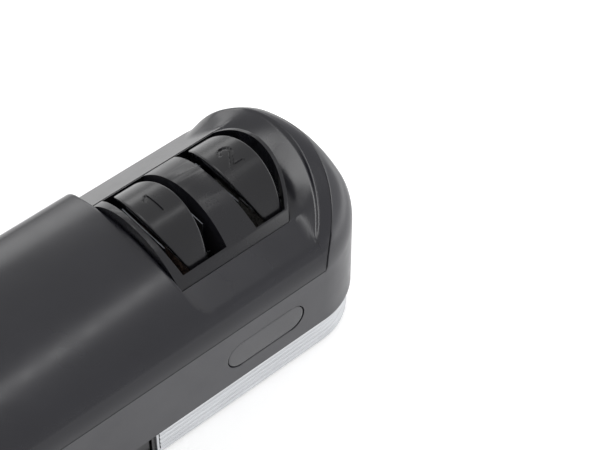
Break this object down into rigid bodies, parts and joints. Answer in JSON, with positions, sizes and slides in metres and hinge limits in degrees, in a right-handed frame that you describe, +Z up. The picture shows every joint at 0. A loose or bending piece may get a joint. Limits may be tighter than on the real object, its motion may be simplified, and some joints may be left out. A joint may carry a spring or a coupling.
{
  "type": "electric knife sharpener",
  "caption": "Mains-powered two-stage kitchen knife sharpener with domed housing, arched blade guides, grinding wheels, motor and rocker switch.",
  "frame": {"origin": "middle of the footprint, on the surface that the feet rest on", "axes": "+X along the body towards the sharpening head, -Y the side with switch and badge, +Z up"},
  "size_m": [0.254, 0.092, 0.0765],
  "materials": {
    "dome_plastic": "semi-gloss charcoal plastic",
    "housing_plastic": "semi-gloss charcoal plastic",
    "guide_plastic": "satin charcoal plastic",
    "inner_plastic": "matte black plastic",
    "band_silver": "silver, fine horizontal grooves",
    "rubber_black": "matte black rubber",
    "steel": "bright steel",
    "bronze": "sintered bronze",
    "brass": "brass",
    "copper": "enamelled copper winding",
    "laminations": "varnished stacked laminations",
    "die_cast": "die-cast alloy",
    "coarse_abrasive": "coarse abrasive",
    "fine_abrasive": "fine abrasive",
    "carbon": "carbon graphite",
    "white_plastic": "off-white insulating plastic",
    "switch_black": "gloss black plastic"
  },
  "bodies": {
    "housing": {"top_cover": "dome_plastic", "lower_housing": "housing_plastic", "base_plate": "inner_plastic", "trim_band": "band_silver", "badge_plate": "housing_plastic", "rubber_feet": "rubber_black", "housing_screws": "steel", "guide_insert": "guide_plastic", "guide_1": "guide_plastic", "guide_2": "guide_plastic", "guide_screws": "steel", "insert_screws": "steel", "wheel_bushes": "bronze", "left_pedestal": "die_cast", "right_pedestal": "die_cast", "pedestal_screws": "steel", "stator_core": "laminations", "field_coils": "copper", "motor_bushes": "bronze", "front_bracket": "die_cast", "rear_bracket": "die_cast", "motor_bolts": "steel", "brush_holders": "brass", "carbon_brushes": "carbon", "brush_springs": "steel", "motor_strap": "steel", "strap_screws": "steel", "switch_frame": "band_silver", "switch_body": "switch_black", "switch_terminals": "brass", "cord_bushing": "rubber_black", "cord_clamp": "inner_plastic", "clamp_screws": "steel", "terminal_block": "white_plastic"},
    "rotor": {"wheel_shaft": "steel", "coarse_wheel": "coarse_abrasive", "fine_wheel": "fine_abrasive", "wheel_flanges": "steel", "wheel_spacer": "steel", "wheel_nut": "steel", "shaft_coupling": "inner_plastic", "coupling_screws": "steel", "motor_shaft": "steel", "armature_core": "laminations", "armature_windings": "copper", "commutator": "copper", "cooling_fan": "white_plastic"},
    "rocker": {"switch_rocker": "switch_black"},
    "blade_spring_1_leaf": {"blade_spring_1": "steel"},
    "blade_spring_2_leaf": {"blade_spring_2": "steel"},
    "blade_spring_3_leaf": {"blade_spring_3": "steel"},
    "blade_spring_4_leaf": {"blade_spring_4": "steel"}
  },
  "joints": [
    {"name": "rotor_spin", "type": "hinge", "parent": "housing", "child": "rotor", "pos_m": [0, 0, 0.038], "axis": [1, 0, 0], "continuous": true},
    {"name": "rocker_tilt", "type": "hinge", "parent": "housing", "child": "rocker", "pos_m": [0, -0.039, 0.0088], "axis": [0, 0, 1], "range_deg": [-16, 0]},
    {"name": "blade_spring_1_flex", "type": "hinge", "parent": "housing", "child": "blade_spring_1_leaf", "pos_m": [0.04622, 0.0011, 0.0576], "axis": [0, -1, 0], "range_deg": [0, 3], "stiffness_Nm_per_rad": 0.05},
    {"name": "blade_spring_2_flex", "type": "hinge", "parent": "housing", "child": "blade_spring_2_leaf", "pos_m": [0.06294, 0.0011, 0.0576], "axis": [0, 1, 0], "range_deg": [0, 3], "stiffness_Nm_per_rad": 0.05},
    {"name": "blade_spring_3_flex", "type": "hinge", "parent": "housing", "child": "blade_spring_3_leaf", "pos_m": [0.08116, 0.0011, 0.0576], "axis": [0, -1, 0], "range_deg": [0, 3], "stiffness_Nm_per_rad": 0.05},
    {"name": "blade_spring_4_flex", "type": "hinge", "parent": "housing", "child": "blade_spring_4_leaf", "pos_m": [0.0987, 0.0011, 0.0576], "axis": [0, 1, 0], "range_deg": [0, 3], "stiffness_Nm_per_rad": 0.05}
  ]
}
